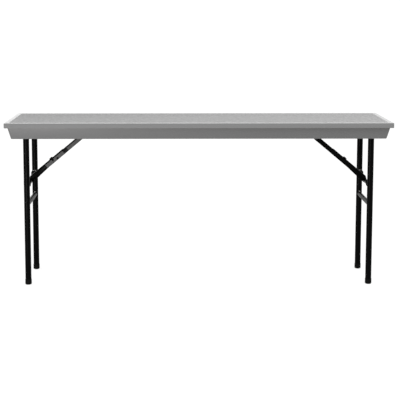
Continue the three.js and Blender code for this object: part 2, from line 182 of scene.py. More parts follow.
def noise(material, size, detail=2.0, stretch=None):
    """A noise texture whose features are about size millimetres across."""
    tree = material.node_tree
    texture = tree.nodes.new("ShaderNodeTexNoise")
    texture.inputs["Scale"].default_value = 1.0 / (size * MM)
    texture.inputs["Detail"].default_value = detail
    source = object_coordinates(material)
    if stretch:
        mapping = tree.nodes.new("ShaderNodeMapping")
        mapping.inputs["Scale"].default_value = stretch
        tree.links.new(source, mapping.inputs["Vector"])
        source = mapping.outputs["Vector"]
    tree.links.new(source, texture.inputs["Vector"])
    return texture.outputs["Fac"]


def add_bump(material, height, depth, strength):
    """Bump of about depth millimetres."""
    tree = material.node_tree
    shader = tree.nodes["Principled BSDF"]
    bump = tree.nodes.new("ShaderNodeBump")
    bump.inputs["Strength"].default_value = strength
    bump.inputs["Distance"].default_value = depth * MM
    tree.links.new(height, bump.inputs["Height"])
    tree.links.new(bump.outputs["Normal"], shader.inputs["Normal"])


NOISE_SPAN = (0.3, 0.7)  # what the values of a noise texture mostly fill


def vary(material, factor, socket, low, high):
    """Drives a shader value, or the grey level of its colour, between low and high."""
    tree = material.node_tree
    shader = tree.nodes["Principled BSDF"]
    spread = tree.nodes.new("ShaderNodeMapRange")
    spread.inputs["From Min"].default_value = NOISE_SPAN[0]
    spread.inputs["From Max"].default_value = NOISE_SPAN[1]
    spread.inputs["To Min"].default_value = low
    spread.inputs["To Max"].default_value = high
    tree.links.new(factor, spread.inputs["Value"])
    tree.links.new(spread.outputs["Result"], shader.inputs[socket])


def grey(level):
    return (level, level, level)


field_laminate = new_material("field_laminate", grey(0.24), 0.62)
vary(field_laminate, noise(field_laminate, 8.0, 6.0), "Base Color", 0.145, 0.285)
add_bump(field_laminate, noise(field_laminate, 1.6, 3.0), 0.25, 0.9)

border_plastic = new_material("border_plastic", grey(0.26), 0.2)
vary(border_plastic, noise(border_plastic, 30.0), "Roughness", 0.16, 0.24)
add_bump(border_plastic, noise(border_plastic, 60.0), 0.15, 0.3)

edge_plastic = new_material("edge_plastic", grey(0.13), 0.6, specular=0.25)
add_bump(edge_plastic, noise(edge_plastic, 1.5), 0.04, 0.4)

skirt_coat = new_material("skirt_coat", grey(0.085), 0.42)
vary(skirt_coat, noise(skirt_coat, 80.0), "Roughness", 0.38, 0.46)
add_bump(skirt_coat, noise(skirt_coat, 1.4), 0.05, 0.4)

black_coat = new_material("black_coat", grey(0.001), 0.30, specular=0.025)
vary(black_coat, noise(black_coat, 25.0), "Roughness", 0.26, 0.34)
add_bump(black_coat, noise(black_coat, 1.1), 0.05, 0.35)

zinc = new_material("zinc", grey(0.55), 0.34, metallic=1.0)
vary(zinc, noise(zinc, 6.0, 3.0), "Roughness", 0.26, 0.44)
add_bump(zinc, noise(zinc, 0.7), 0.02, 0.3)

rubber = new_material("rubber", grey(0.003), 0.55, specular=0.03)
vary(rubber, noise(rubber, 8.0), "Roughness", 0.48, 0.62)
add_bump(rubber, noise(rubber, 0.8), 0.05, 0.4)

# Bright grey metal on a few weld beads: a painted glint, standing for the highlight that light makes
# on the black paint there.
weld_painted_glint = new_material("weld_painted_glint", grey(0.42), 0.38, metallic=0.9)
vary(weld_painted_glint, noise(weld_painted_glint, 3.0), "Roughness", 0.30, 0.50)
add_bump(weld_painted_glint, noise(weld_painted_glint, 1.0), 0.08, 0.5)

label_film = new_material("label_film", grey(0.048), 0.45, specular=0.15)
vary(label_film, noise(label_film, 12.0), "Roughness", 0.40, 0.50)

board = new_material("board", (0.42, 0.31, 0.20), 0.75)
board_grain = noise(board, 6.0, 4.0, stretch=(0.08, 1.0, 1.0))
board_tree = board.node_tree
board_mix = board_tree.nodes.new("ShaderNodeMix")
board_mix.data_type = "RGBA"
board_mix.inputs["A"].default_value = (0.36, 0.26, 0.16, 1.0)
board_mix.inputs["B"].default_value = (0.50, 0.38, 0.25, 1.0)
board_tree.links.new(board_grain, board_mix.inputs["Factor"])
board_color = board_tree.nodes["Principled BSDF"].inputs["Base Color"]
board_tree.links.new(board_mix.outputs["Result"], board_color)
add_bump(board, board_grain, 0.2, 0.5)

# ------------------------------------------------------------------------ mesh helpers


def make_object(name, points, faces):
    """A mesh object from millimetre points, normals outwards."""
    mesh = bpy.data.meshes.new(name)
    mesh.from_pydata([Vector(point) * MM for point in points], [], faces)
    work = bmesh.new()
    work.from_mesh(mesh)
    bmesh.ops.recalc_face_normals(work, faces=work.faces)
    work.to_mesh(mesh)
    work.free()
    obj = bpy.data.objects.new(name, mesh)
    bpy.context.scene.collection.objects.link(obj)
    return obj


def bake(obj):
    """Turns the object's modifiers into plain mesh."""
    graph = bpy.context.evaluated_depsgraph_get()
    baked = bpy.data.meshes.new_from_object(obj.evaluated_get(graph))
    obj.modifiers.clear()
    obj.data = baked


def cut(obj, tool):
    modifier = obj.modifiers.new("cut", "BOOLEAN")
    modifier.operation = "DIFFERENCE"
    modifier.solver = "EXACT"
    modifier.object = tool
    bake(obj)
    bpy.data.objects.remove(tool)
    return obj


def in_metres(matrix):
    """The same matrix, its translation turned from millimetres into metres."""
    scaled = matrix.copy()
    scaled.translation = matrix.translation * MM
    return scaled


def move(obj, matrix):
    """Moves the vertices; the translation of matrix is in millimetres."""
    obj.data.transform(in_metres(matrix))
    return obj


def merge(name, *objects):
    """One object from several, each keeping its own material."""
    work = bmesh.new()
    materials = []
    for obj in objects:
        first = len(work.faces)
        work.from_mesh(obj.data)
        work.faces.ensure_lookup_table()
        for face in work.faces[first:]:
            face.material_index += len(materials)
        materials.extend(obj.data.materials)
    mesh = bpy.data.meshes.new(name)
    work.to_mesh(mesh)
    work.free()
    for material in materials:
        mesh.materials.append(material)
    for obj in objects:
        bpy.data.objects.remove(obj)
    merged = bpy.data.objects.new(name, mesh)
    bpy.context.scene.collection.objects.link(merged)
    return merged


def copies(name, source, spots):
    """One object made of a copy of source at each spot, a matrix in millimetres."""
    work = bmesh.new()
    for spot in spots:
        first = len(work.verts)
        work.from_mesh(source.data)
        work.verts.ensure_lookup_table()
        bmesh.ops.transform(work, matrix=in_metres(spot), verts=work.verts[first:])
    mesh = bpy.data.meshes.new(name)
    work.to_mesh(mesh)
    work.free()
    obj = bpy.data.objects.new(name, mesh)
    bpy.context.scene.collection.objects.link(obj)
    return obj


def soften(obj, width, segments=2):
    """Small rounds on the edges that turn by more than 40 degrees."""
    modifier = obj.modifiers.new("soften", "BEVEL")
    modifier.limit_method = "ANGLE"
    modifier.angle_limit = math.radians(40)
    modifier.width = width * MM
    modifier.segments = segments
    bake(obj)
    return obj


def paint(obj, material):
    obj.data.materials.clear()
    obj.data.materials.append(material)
    return obj


def shade(obj, angle=35):
    obj.data.shade_smooth()
    obj.data.set_sharp_from_angle(angle=math.radians(angle))
    return obj


def place(obj, body, slot, *nodes):
    """The piece rides a body and stands for CAD nodes; slot is not used."""
    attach(obj, body)
    if nodes:
        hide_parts(*nodes)
    return obj


def arc(centre_x, centre_y, radius, start, end, steps):
    """Points on an arc, both ends included; angles in degrees."""
    points = []
    for step in range(steps + 1):
        angle = math.radians(start + (end - start) * step / steps)
        points.append((centre_x + radius * math.cos(angle), centre_y + radius * math.sin(angle)))
    return points


def fillet(corners, steps=6):
    """A closed outline from (x, y, radius) corners, each rounded to its radius."""
    points = []
    count = len(corners)
    for index, (x, y, radius) in enumerate(corners):
        here = Vector((x, y))
        if radius == 0:
            points.append((x, y))
            continue
        before = (Vector(corners[index - 1][:2]) - here).normalized()
        after = (Vector(corners[(index + 1) % count][:2]) - here).normalized()
        half = before.angle(after) / 2
        centre = here + (before + after).normalized() * (radius / math.sin(half))
        start = here + before * (radius / math.tan(half)) - centre
        end = here + after * (radius / math.tan(half)) - centre
        sweep_angle = start.angle_signed(end)
        for step in range(steps + 1):
            turned = start.copy()
            turned.rotate(Matrix.Rotation(-sweep_angle * step / steps, 2))
            points.append(tuple(centre + turned))
    return points


def skin_rings(rings, caps=True, closed_rows=False):
    """Faces between rings of equal length, with flat faces over the first and last."""
    size = len(rings[0])
    points = [point for ring in rings for point in ring]
    faces = []
    rows = len(rings) if closed_rows else len(rings) - 1
    for row in range(rows):
        following = (row + 1) % len(rings)
        for column in range(size):
            right = (column + 1) % size
            faces.append((
                row * size + column, row * size + right,
                following * size + right, following * size + column))
    if caps:
        faces.append(tuple(range(size)))
        faces.append(tuple(range((len(rings) - 1) * size, len(rings) * size)))
    return points, faces


def lathe(name, profile, sides=TURN_STEPS, axis="Z"):
    """Turned about Z from (radius, height) points; a radius of 0 ends on the axis."""
    points = []
    faces = []
    rows = []
    for radius, height in profile:
        first = len(points)
        if radius == 0:
            points.append((0, 0, height))
            rows.append([first] * sides)
            continue
        for side in range(sides):
            angle = 2 * math.pi * side / sides
            points.append((radius * math.cos(angle), radius * math.sin(angle), height))
        rows.append([first + side for side in range(sides)])
    for lower, upper in zip(rows, rows[1:]):
        for side in range(sides):
            after = (side + 1) % sides
            loop = [lower[side], lower[after], upper[after], upper[side]]
            faces.append(tuple(dict.fromkeys(loop)))
    obj = make_object(name, points, faces)
    if axis == "Y":
        move(obj, Matrix.Rotation(-math.pi / 2, 4, "X"))
    return obj


def prism(name, outline, start, end):
    """An (x, z) outline made solid from y = start to y = end."""
    rings = [[(x, y, z) for x, z in outline] for y in (start, end)]
    return make_object(name, *skin_rings(rings))


def plate(name, outline, low, high):
    """An (x, y) outline made solid from z = low to z = high."""
    rings = [[(x, y, z) for x, y in outline] for z in (low, high)]
    return make_object(name, *skin_rings(rings))


def block(name, low, high):
    outline = [(low[0], low[1]), (high[0], low[1]), (high[0], high[1]), (low[0], high[1])]
    return plate(name, outline, low[2], high[2])


def sweep(name, path, radius, sides=10, closed=False):
    """A round bar along a path; radius(share) may vary along it."""
    count = len(path)
    rings = []
    normal = None
    for index in range(count):
        before = path[index - 1] if closed or index > 0 else path[index]
        after = path[(index + 1) % count] if closed or index < count - 1 else path[index]
        along = (after - before).normalized()
        if normal is None:
            normal = along.orthogonal().normalized()
        normal = (normal - along * normal.dot(along)).normalized()
        side = along.cross(normal)
        size = radius(index / count)
        ring = []
        for step in range(sides):
            angle = 2 * math.pi * step / sides
            ring.append(path[index] + size * (math.cos(angle) * normal + math.sin(angle) * side))
        rings.append(ring)
    points, faces = skin_rings(rings, caps=not closed, closed_rows=closed)
    return make_object(name, points, faces)


def bead_radius(share):
    """A hand-laid weld: the bead swells and thins along its way."""
    quick, slow = weld["waves"]
    wave = math.sin(2 * math.pi * quick * share) + 0.5 * math.sin(2 * math.pi * slow * share + 1)
    return weld["radius"] * (1 + weld["ripple"] * wave)


def weld_bead(path, material=black_coat, closed=False):
    return paint(sweep("bead", path, bead_radius, closed=closed), material)


def saddle_weld(bar_radius, post_radius, steps=96):
    """Weld where a bar along +Y meets a round post on the Z axis, at the origin."""
    path = []
    for step in range(steps):
        angle = 2 * math.pi * step / steps
        x = bar_radius * math.cos(angle)
        z = bar_radius * math.sin(angle)
        path.append(Vector((x, math.sqrt(max(post_radius ** 2 - x ** 2, 0)), z)))
    return weld_bead(path, closed=True)


def screw_head():
    """Pan head with a cross recess, its seat on z = 0 and its top at -height."""
    radius, height = screw["head"], screw["height"]
    profile = [(0, 0), (radius, 0)]
    for degrees in range(6, 90, 6):
        angle = math.radians(degrees)
        profile.append((radius * math.cos(angle), -height * math.sin(angle) ** screw["dome_power"]))
    head = lathe("screw", profile + [(0, -height)], sides=32)
    arm_low = (-screw["cross"], -screw["arm_half"], -height - 1)
    arm_high = (screw["cross"], screw["arm_half"], -height + screw["recess"])
    for turn in (0, math.pi / 2):
        cut(head, move(block("arm", arm_low, arm_high), Matrix.Rotation(turn, 4, "Z")))
    return head


def place_screws(name, source, spots):
    """Screw heads at the spots, which all hold something to the top."""
    place(shade(paint(copies(name, source, spots), zinc)), "table", "zinc_steel")


# --------------------------------------------------------------------------------- top


def rounded_rectangle(half_x, half_y, radius, steps=6):
    points = []
    corners = ((1, -1, -90), (1, 1, 0), (-1, 1, 90), (-1, -1, 180))
    for side_x, side_y, start in corners:
        centre_x = side_x * (half_x - radius)
        centre_y = side_y * (half_y - radius)
        points += arc(centre_x, centre_y, radius, start, start + 90, steps)
    return points


def top_profile():
    """(inset, z) points from the hollow round the edge to the field; where border and field start."""
    wall = top_edge["wall"]
    low_round, high_round = top_edge["lower_round"], top_edge["upper_round"]
    profile = [(wall, TABLE_HEIGHT - wall), (wall, UNDERSIDE)]
    profile += arc(low_round, UNDERSIDE + low_round, low_round, 270, 180, steps=4)
    profile += arc(
        high_round, TABLE_HEIGHT - high_round, high_round, 180, 90, steps=top_edge["upper_steps"])
    border_row = len(profile) - 1 - top_edge["steps_in_border"]
    profile += [
        (border["width"], TABLE_HEIGHT),
        (border["width"] + border["brink_in"], TABLE_HEIGHT - border["brink_down"]),
        (border["width"] + border["slope"], TABLE_HEIGHT - border["step"]),
    ]
    return profile, border_row, len(profile) - 1


def build_top():
    profile, border_row, field_row = top_profile()
    rings = []
    for inset, z in profile:
        radius = max(top_edge["corner"] - inset, top_edge["least_corner"])
        outline = rounded_rectangle(HALF_LENGTH - inset, HALF_WIDTH - inset, radius)
        rings.append([(x, y, z) for x, y in outline])
    top = make_object("tabletop", *skin_rings(rings))
    for material in (edge_plastic, border_plastic, field_laminate):
        top.data.materials.append(material)
    size = len(rings[0])
    for face in top.data.polygons:
        row = min(vertex // size for vertex in face.vertices)
        if row >= field_row:
            face.material_index = 2
        elif row >= border_row:
            face.material_index = 1
    place(shade(top, angle=50), "table", "top_plastic", "top_skin")


# ------------------------------------------------------------------------------- skirt


def skirt_profile():
    """Closed (distance in from the table's edge, height) outline of a skirt rail."""
    high, low = skirt_high.z, skirt_low.z
    inset, wall = skirt["inset"], skirt["wall"]
    foot_inset = inset + skirt["draft"]
    lean = skirt["draft"] / (high - low)
    hem = skirt["hem_round"]
    sheet_edge = wall / 2.2  # under half the wall, so that the two rounds of an edge don't meet
    return fillet([
        (inset, high, skirt["top_round"]),
        (foot_inset, low, hem),
        (foot_inset + skirt["lip"], low, sheet_edge),
        (foot_inset + skirt["lip"], low + wall, sheet_edge),
        (foot_inset + wall - lean * wall, low + wall, hem - wall / 2),
        (inset + wall + lean * wall, high - wall, skirt["inner_round"]),
        (inset + skirt["flange"], high - wall, sheet_edge),
        (inset + skirt["flange"], high, sheet_edge),
    ])


def skirt_rail(name, half_long, half_short, turn, steps=6):
    """A rail on the -Y side, mitred through the round corners, then turned about Z."""
    lean = skirt["draft"] / (skirt_high.z - skirt_low.z)
    rings = []
    columns = [(-1, 225 + 45 * step / steps) for step in range(steps + 1)]
    columns += [(1, 270 + 45 * step / steps) for step in range(steps + 1)]
    for side, angle in columns:
        ring = []
        for inset, z in skirt_profile():
            from_face = inset - skirt["inset"] - (skirt_high.z - z) * lean
            radius = max(skirt["corner"] - from_face, skirt["least_corner"])
            centre_x = side * (half_long - inset - radius)
            centre_y = -(half_short - inset - radius)
            x = centre_x + radius * math.cos(math.radians(angle))
            y = centre_y + radius * math.sin(math.radians(angle))
            ring.append((x, y, z))
        rings.append(ring)
    rail = make_object(name, *skin_rings(rings))
    return move(rail, Matrix.Rotation(turn, 4, "Z"))


def build_skirt():
    quarter = math.pi / 2
    rails = (
        ("front", HALF_LENGTH, HALF_WIDTH, 0),
        ("right", HALF_WIDTH, HALF_LENGTH, quarter),
        ("back", HALF_LENGTH, HALF_WIDTH, 2 * quarter),
        ("left", HALF_WIDTH, HALF_LENGTH, 3 * quarter),
    )
    for side, half_long, half_short, turn in rails:
        rail = paint(skirt_rail(f"skirt_rail_{side}", half_long, half_short, turn), skirt_coat)
        place(shade(rail, angle=30), "table", "skirt_plastic", f"skirt_{side}")


def build_skirt_screws(source):
    from_edge = skirt["inset"] + skirt["flange"] * skirt_screws["share_of_flange"]
    flange_x = HALF_LENGTH - from_edge
    flange_y = HALF_WIDTH - from_edge
    flange_z = skirt_high.z - skirt["wall"]
    spaces = skirt_screws["spaces"]
    spots = []
    for step in range(spaces + 1):
        x = (step / spaces - 0.5) * 2 * (flange_x - skirt_screws["first"])
        spots += [Matrix.Translation((x, side * flange_y, flange_z)) for side in (-1, 1)]
    for y in skirt_screws["at_the_ends"]:
        spots += [Matrix.Translation((side * flange_x, y, flange_z)) for side in (-1, 1)]
    place_screws("skirt_screws", source, spots)


def build_gusset(end, side, source):
    """Corner plate with three screws; it fills the half of its box that is in the corner."""
    node = f"corner_gusset_{side}_{end}"
    low, high = cad_box(node)
    size = high.x - low.x
    out_x = 1 if end == "right" else -1
    out_y = -1 if side == "front" else 1
    corner_x = high.x if out_x > 0 else low.x
    corner_y = low.y if out_y < 0 else high.y
    outline = [
        (corner_x, corner_y, gusset["corner"]),
        (corner_x - out_x * size, corner_y, gusset["tip"]),
        (corner_x, corner_y - out_y * size, gusset["tip"]),
    ]
    if out_x * out_y < 0:
        outline.reverse()
    sheet = soften(plate(f"gusset_{side}_{end}", fillet(outline), low.z, high.z), PLATE_ROUND)
    place(shade(paint(sheet, zinc)), "table", "zinc_steel", node)
    spots = []
    for across, along in gusset["screw_shares"]:
        x = corner_x - out_x * size * across
        y = corner_y - out_y * size * along
        spots.append(Matrix.Translation((x, y, low.z)))
    place_screws(f"gusset_screws_{side}_{end}", source, spots)


# ---------------------------------------------------------------- legs and their frame


def build_saddle(turn, name, side, source):
    """Strap that carries the fold rod, with four screws into the board."""
    hang = saddle_high.z
    half = (saddle_high.y - saddle_low.y) / 2
    sheet, reach = saddle["wall"], saddle["reach"]
    inner = ROD_RADIUS + saddle["play"]
    outer = inner + sheet
    tight = saddle["bend"]
    wide = tight + sheet
    outline = [(-reach, hang), (-reach, hang - sheet)]
    outline += arc(-outer - tight, hang - wide, tight, 90, 0, BEND_STEPS)
    outline += arc(0, FOLD_Z, outer, 180, 360, steps=24)
    outline += arc(outer + tight, hang - wide, tight, 180, 90, BEND_STEPS)
    outline += [(reach, hang - sheet), (reach, hang)]
    outline += arc(inner + wide, hang - wide, wide, 90, 180, BEND_STEPS)
    outline += arc(0, FOLD_Z, inner, 360, 180, steps=24)
    outline += arc(-inner - wide, hang - wide, wide, 0, 90, BEND_STEPS)
    strap = soften(prism(f"hinge_saddle_{name}_shape", outline, -half, half), SHEET_ROUND)
    at_saddle = turn @ Matrix.Translation((LEG_X, side * saddle["centre_y"], 0))
    move(strap, at_saddle)
    place(shade(paint(strap, zinc)), "table", "zinc_steel", f"hinge_saddle_{name}")
    screw_x = reach - saddle["screw_from_end"]
    screw_y = half * saddle["screw_share"]
    spots = []
    for x in (-screw_x, screw_x):
        for y in (-screw_y, screw_y):
            spots.append(at_saddle @ Matrix.Translation((x, y, hang - sheet)))
    place_screws(f"saddle_screws_{name}", source, spots)


def build_leg_tube(turn, name, end, side):
    bore = LEG_RADIUS - leg["wall"]
    profile = [
        (bore, leg_low.z), (LEG_RADIUS, leg_low.z), (LEG_RADIUS, leg_high.z - leg["top_round"]),
        (LEG_RADIUS - leg["top_round"], leg_high.z), (bore, leg_high.z), (bore, leg_low.z),
    ]
    tube = lathe(f"leg_tube_{name}", profile)
    move(tube, turn @ Matrix.Translation((LEG_X, side * LEG_Y, 0)))
    place(shade(paint(tube, black_coat)), f"leg_frame_{end}", "black_steel", f"leg_{name}")


def build_foot_cap(turn, name, end, side):
    """A cup that holds the leg's lower end, with a groove below its rim."""
    outer = (foot_high.x - foot_low.x) / 2
    inner = LEG_RADIUS + foot["play"]
    grooved = outer - foot["groove_depth"]
    rim = foot_high.z
    groove_radii = (outer, grooved, grooved, outer)
    profile = [(0, 0)]
    profile += arc(outer - foot["round"], foot["round"], foot["round"], -90, 0, steps=8)
    profile += [(radius, rim - below) for radius, below in zip(groove_radii, foot["groove"])]
    profile += [
        (outer, rim - foot["rim_height"]), (outer - foot["rim_width"], rim),
        (inner, rim), (inner, leg_low.z), (0, leg_low.z),
    ]
    cup = lathe(f"foot_cap_{name}", profile)
    move(cup, turn @ Matrix.Translation((LEG_X, side * LEG_Y, 0)))
    place(shade(paint(cup, rubber), angle=45), f"leg_frame_{end}", "foot_plastic", f"foot_{name}")


def inwards(side):
    """Turns a piece that is drawn for the -Y leg so that it suits the leg on that side."""
    return Matrix.Identity(4) if side < 0 else HALF_TURN


def lug_welds(far):
    """Beads up both sides of the lug, over its ends, and round the cross rod."""
    y = math.sqrt(LEG_RADIUS ** 2 - lug_weld["x"] ** 2) + weld["radius"] * lug_weld["sunk"]
    low, high = lug_low.z + lug_weld["from_end"], lug_high.z - lug_weld["from_end"]
    steps = lug_weld["steps"]
    heights = [low + (high - low) * step / steps for step in range(steps + 1)]
    beads = [
        weld_bead([Vector((x, y, z)) for z in heights]) for x in (-lug_weld["x"], lug_weld["x"])]
    over_end = arc(0, 0, LEG_RADIUS + lug_weld["end_out"], 60, 120, steps=20)
    # The bead over the lug's top end is painted bright: a painted glint. The bead over its lower end
    # stays black.
    for z, material in ((lug_low.z, black_coat), (lug_high.z, weld_painted_glint)):
        beads.append(weld_bead([Vector((x, y, z)) for x, y in over_end], material))
    round_rod = arc(0, CROSS_Z, CROSS_RADIUS, 0, 354, steps=59)  # the bead closes the last step
    beads.append(weld_bead([Vector((x, far, z)) for x, z in round_rod], closed=True))
    return beads


def build_rod_lug(turn, name, end, side):
    """Plate on the inner side of the leg that takes the cross rod, with its welds."""
    near = LEG_RADIUS + lug["gap"] / 2
    far = LEG_RADIUS + lug["gap"] + lug["thickness"]
    half = (lug_high.x - lug_low.x) / 2
    outline = fillet([
        (-half, lug_low.z, lug["round"]), (half, lug_low.z, lug["round"]),
        (half, lug_high.z, lug["round"]), (-half, lug_high.z, lug["round"]),
    ])
    sheet = paint(soften(prism("plate", outline, near, far), lug["edge_round"], 3), black_coat)
    welded_lug = merge(f"rod_lug_welded_{name}", sheet, *lug_welds(far))
    move(welded_lug, turn @ Matrix.Translation((LEG_X, side * LEG_Y, 0)) @ inwards(side))
    place(shade(welded_lug), f"leg_frame_{end}", "black_steel", f"rod_lug_{name}")


def build_cross_rod_half(turn, name, end, side):
    """Half of the upper cross rod, from the lug to the lower link."""
    outer = LEG_Y - LEG_RADIUS - lug["gap"] - lug["thickness"]
    inner = lower_link["half"] + pin["play"]
    half_rod = lathe(f"cross_rod_half_{name}", [
        (0, -outer), (CROSS_RADIUS, -outer), (CROSS_RADIUS, -inner), (0, -inner),
    ], axis="Y")
    move(half_rod, turn @ Matrix.Translation((LEG_X, 0, CROSS_Z)) @ inwards(side))
    place(shade(paint(half_rod, black_coat)), f"leg_frame_{end}", "black_steel", f"cross_rod_{name}")


def build_push_cap(turn, name, end, side):
    """Domed cap pressed on the end of the fold rod."""
    radius = (cap_high.z - cap_low.z) / 2
    inner, outer = cap_high.y, cap_low.y
    profile = [(0, outer)]
    for share in reversed(push_cap["shares"]):
        profile.append((radius * share, outer + (1 - math.sqrt(1 - share ** 2)) * push_cap["dome"]))
    profile += [(radius, inner), (0, inner)]
    cap = lathe(f"push_cap_{name}", profile, axis="Y")
    move(cap, turn @ Matrix.Translation((LEG_X, 0, FOLD_Z)) @ inwards(side))
    place(shade(paint(cap, zinc)), f"leg_frame_{end}", "zinc_steel", f"fold_rod_cap_{name}")


def build_fold_rod(turn, end):
    """The rod that the legs swing on."""
    half, thin = rod_high.y, ROD_RADIUS - fold_rod_round
    rod = lathe(f"fold_shaft_{end}", [
        (0, -half), (thin, -half), (ROD_RADIUS, -half + fold_rod_round),
        (ROD_RADIUS, half - fold_rod_round), (thin, half), (0, half),
    ], axis="Y")
    move(rod, turn @ Matrix.Translation((LEG_X, 0, FOLD_Z)))
    place(shade(paint(rod, zinc)), f"leg_frame_{end}", "zinc_steel", f"fold_rod_{end}")


def build_lower_tube(turn, end):
    """The lower cross tube, with a weld round each end and a bright bead on its crown, its brightness
    a painted glint.
    """
    reach = LEG_Y - LEG_RADIUS * 0.55  # far enough into the round of the leg
    profile = [(0, -reach), (TUBE_RADIUS, -reach), (TUBE_RADIUS, reach), (0, reach)]
    tube = paint(lathe("tube", profile, axis="Y"), black_coat)
    welds = []
    for side in (-1, 1):
        at_leg = Matrix.Translation((0, side * LEG_Y, 0))
        welds.append(move(saddle_weld(TUBE_RADIUS, LEG_RADIUS), at_leg @ inwards(side)))
        y, z = LEG_RADIUS + crown_weld["out"], TUBE_RADIUS + crown_weld["up"]
        crown = [Vector((x, -side * y, z)) for x in crown_weld["x"]]
        # The crown bead is painted bright: a painted glint.
        welds.append(move(weld_bead(crown, weld_painted_glint), at_leg))
    welded = merge(f"lower_tube_welded_{end}", tube, *welds)
    move(welded, turn @ Matrix.Translation((LEG_X, 0, TUBE_Z)))
    place(shade(welded), f"leg_frame_{end}", "black_steel", f"lower_cross_tube_{end}")


# ------------------------------------------------------------------------------- brace


def round_long_edges(obj, half_width, rise, radius):
    """Bends: rounds the edges at y = +-half_width and z = rise."""
    close = 0.001 * MM
    work = bmesh.new()
    work.from_mesh(obj.data)

    def on_edge(vertex):
        at_side = abs(abs(vertex.co.y) - half_width * MM) < close
        return at_side and abs(vertex.co.z - rise * MM) < close

    edges = []
    for edge in work.edges:
        first, second = edge.verts
        if on_edge(first) and on_edge(second) and abs(first.co.y - second.co.y) < close:
            edges.append(edge)
    bmesh.ops.bevel(
        work, geom=edges, offset=radius * MM, segments=BEND_STEPS, profile=0.5, affect="EDGES")
    work.to_mesh(obj.data)
    work.free()
    return obj


def channel(name, outline, link, reach):
    """A folded sheet channel with that outline in the link's plane."""
    half, metal, closed, bend = link["half"], link["metal"], link["closed"], link["bend"]
    body = round_long_edges(prism(name, outline, -half, half), half, closed, bend)
    inside = half - metal
    hollow = block("hollow", (-reach, -inside, -reach), (reach, inside, closed - metal))
    round_long_edges(hollow, inside, closed - metal, bend - metal)
    return cut(body, hollow)


def rivet(name, half_grip):
    """A shank across the table with a domed head at each end."""
    head, dome, radius = pin["head"], pin["dome"], pin["radius"]
    rim = dome * pin["rim_share"]
    cheek = []
    for degrees in range(0, 90, 15):
        angle = math.radians(degrees)
        cheek.append((head * math.cos(angle), rim + (dome - rim) * math.sin(angle)))
    cheek.append((0, dome))
    profile = [(r, -half_grip - rise) for r, rise in reversed(cheek)]
    profile += [(head, -half_grip), (radius, -half_grip), (radius, half_grip), (head, half_grip)]
    profile += [(r, half_grip + rise) for r, rise in cheek]
    return lathe(name, profile, sides=40, axis="Y")


def build_bracket(turn, end, source):
    """Plate under the board with a tongue that carries the brace, and its four screws."""
    rise = bracket_high.z
    plate_low = rise - bracket["plate"]
    back, front, half = -bracket["back"], bracket["front"], bracket["half"]
    eye, corner, root_z = bracket["eye"], bracket["corner"], plate_low + bracket["overlap"]
    base_outline = fillet([
        (back, -half, corner), (front, -half, corner), (front, half, corner), (back, half, corner),
    ])
    base = soften(plate("base", base_outline, plate_low, rise), PLATE_ROUND)
    tongue_outline = [(eye, root_z), (-bracket["root"] * eye, root_z), (-eye, PIVOT.z)]
    tongue_outline += arc(0, PIVOT.z, eye, 180, 360, ROUND_STEPS)[1:]
    tongue = prism("tongue", tongue_outline, -bracket["tongue"], bracket["tongue"])
    soften(tongue, PLATE_ROUND)
    whole = merge(
        f"brace_bracket_shape_{end}", paint(base, black_coat), paint(tongue, black_coat))
    at_pivot = turn @ Matrix.Translation((PIVOT.x, 0, 0))
    move(whole, at_pivot)
    place(shade(whole), "table", "black_steel", f"brace_bracket_{end}")
    screw_y = half - bracket_screws["from_side"]
    spots = []
    for x in (back + bracket_screws["from_back"], front - bracket_screws["from_front"]):
        for y in (-screw_y, screw_y):
            spots.append(at_pivot @ Matrix.Translation((x, y, plate_low)))
    place_screws(f"bracket_screws_{end}", source, spots)


def build_upper_link(turn, end):
    """Channel from the bracket to the knee, slotted for the tongue, and its rivet."""
    link, body = upper_link, f"upper_link_{end}"
    open_rise, closed, tail = link["open"], link["closed"], link["tail"]
    low_angle = math.degrees(math.asin(open_rise / closed))
    tail_end = 180 + math.degrees(math.asin(-open_rise / tail))
    outline = arc(upper_length, 0, closed, low_angle, 90, ROUND_STEPS)
    outline += [(link["web_start"] * tail, closed)]
    outline += arc(0, 0, tail, link["shoulder"], tail_end, ROUND_STEPS)
    shape = channel(f"brace_upper_channel_{end}", outline, link, 2 * upper_length)
    slot_half = bracket["tongue"] + link["slot_play"]
    slot_low = (-2 * tail, -slot_half, open_rise)
    slot_high = (link["slot_end"] * tail, slot_half, 2 * closed)
    cut(shape, block("slot", slot_low, slot_high))
    soften(shape, link["edge_round"])
    at_pivot = turn @ Matrix.Translation(PIVOT)
    along_link = at_pivot @ Matrix.Rotation(link_angle, 4, "Y")
    move(shape, along_link)
    place(shade(paint(shape, black_coat)), body, "black_steel", f"brace_upper_link_{end}")

    upper_pin = move(rivet(f"brace_pivot_rivet_{end}", link["half"]), at_pivot)
    place(shade(paint(upper_pin, zinc)), "table", "zinc_steel", f"brace_upper_pin_{end}")
    return along_link


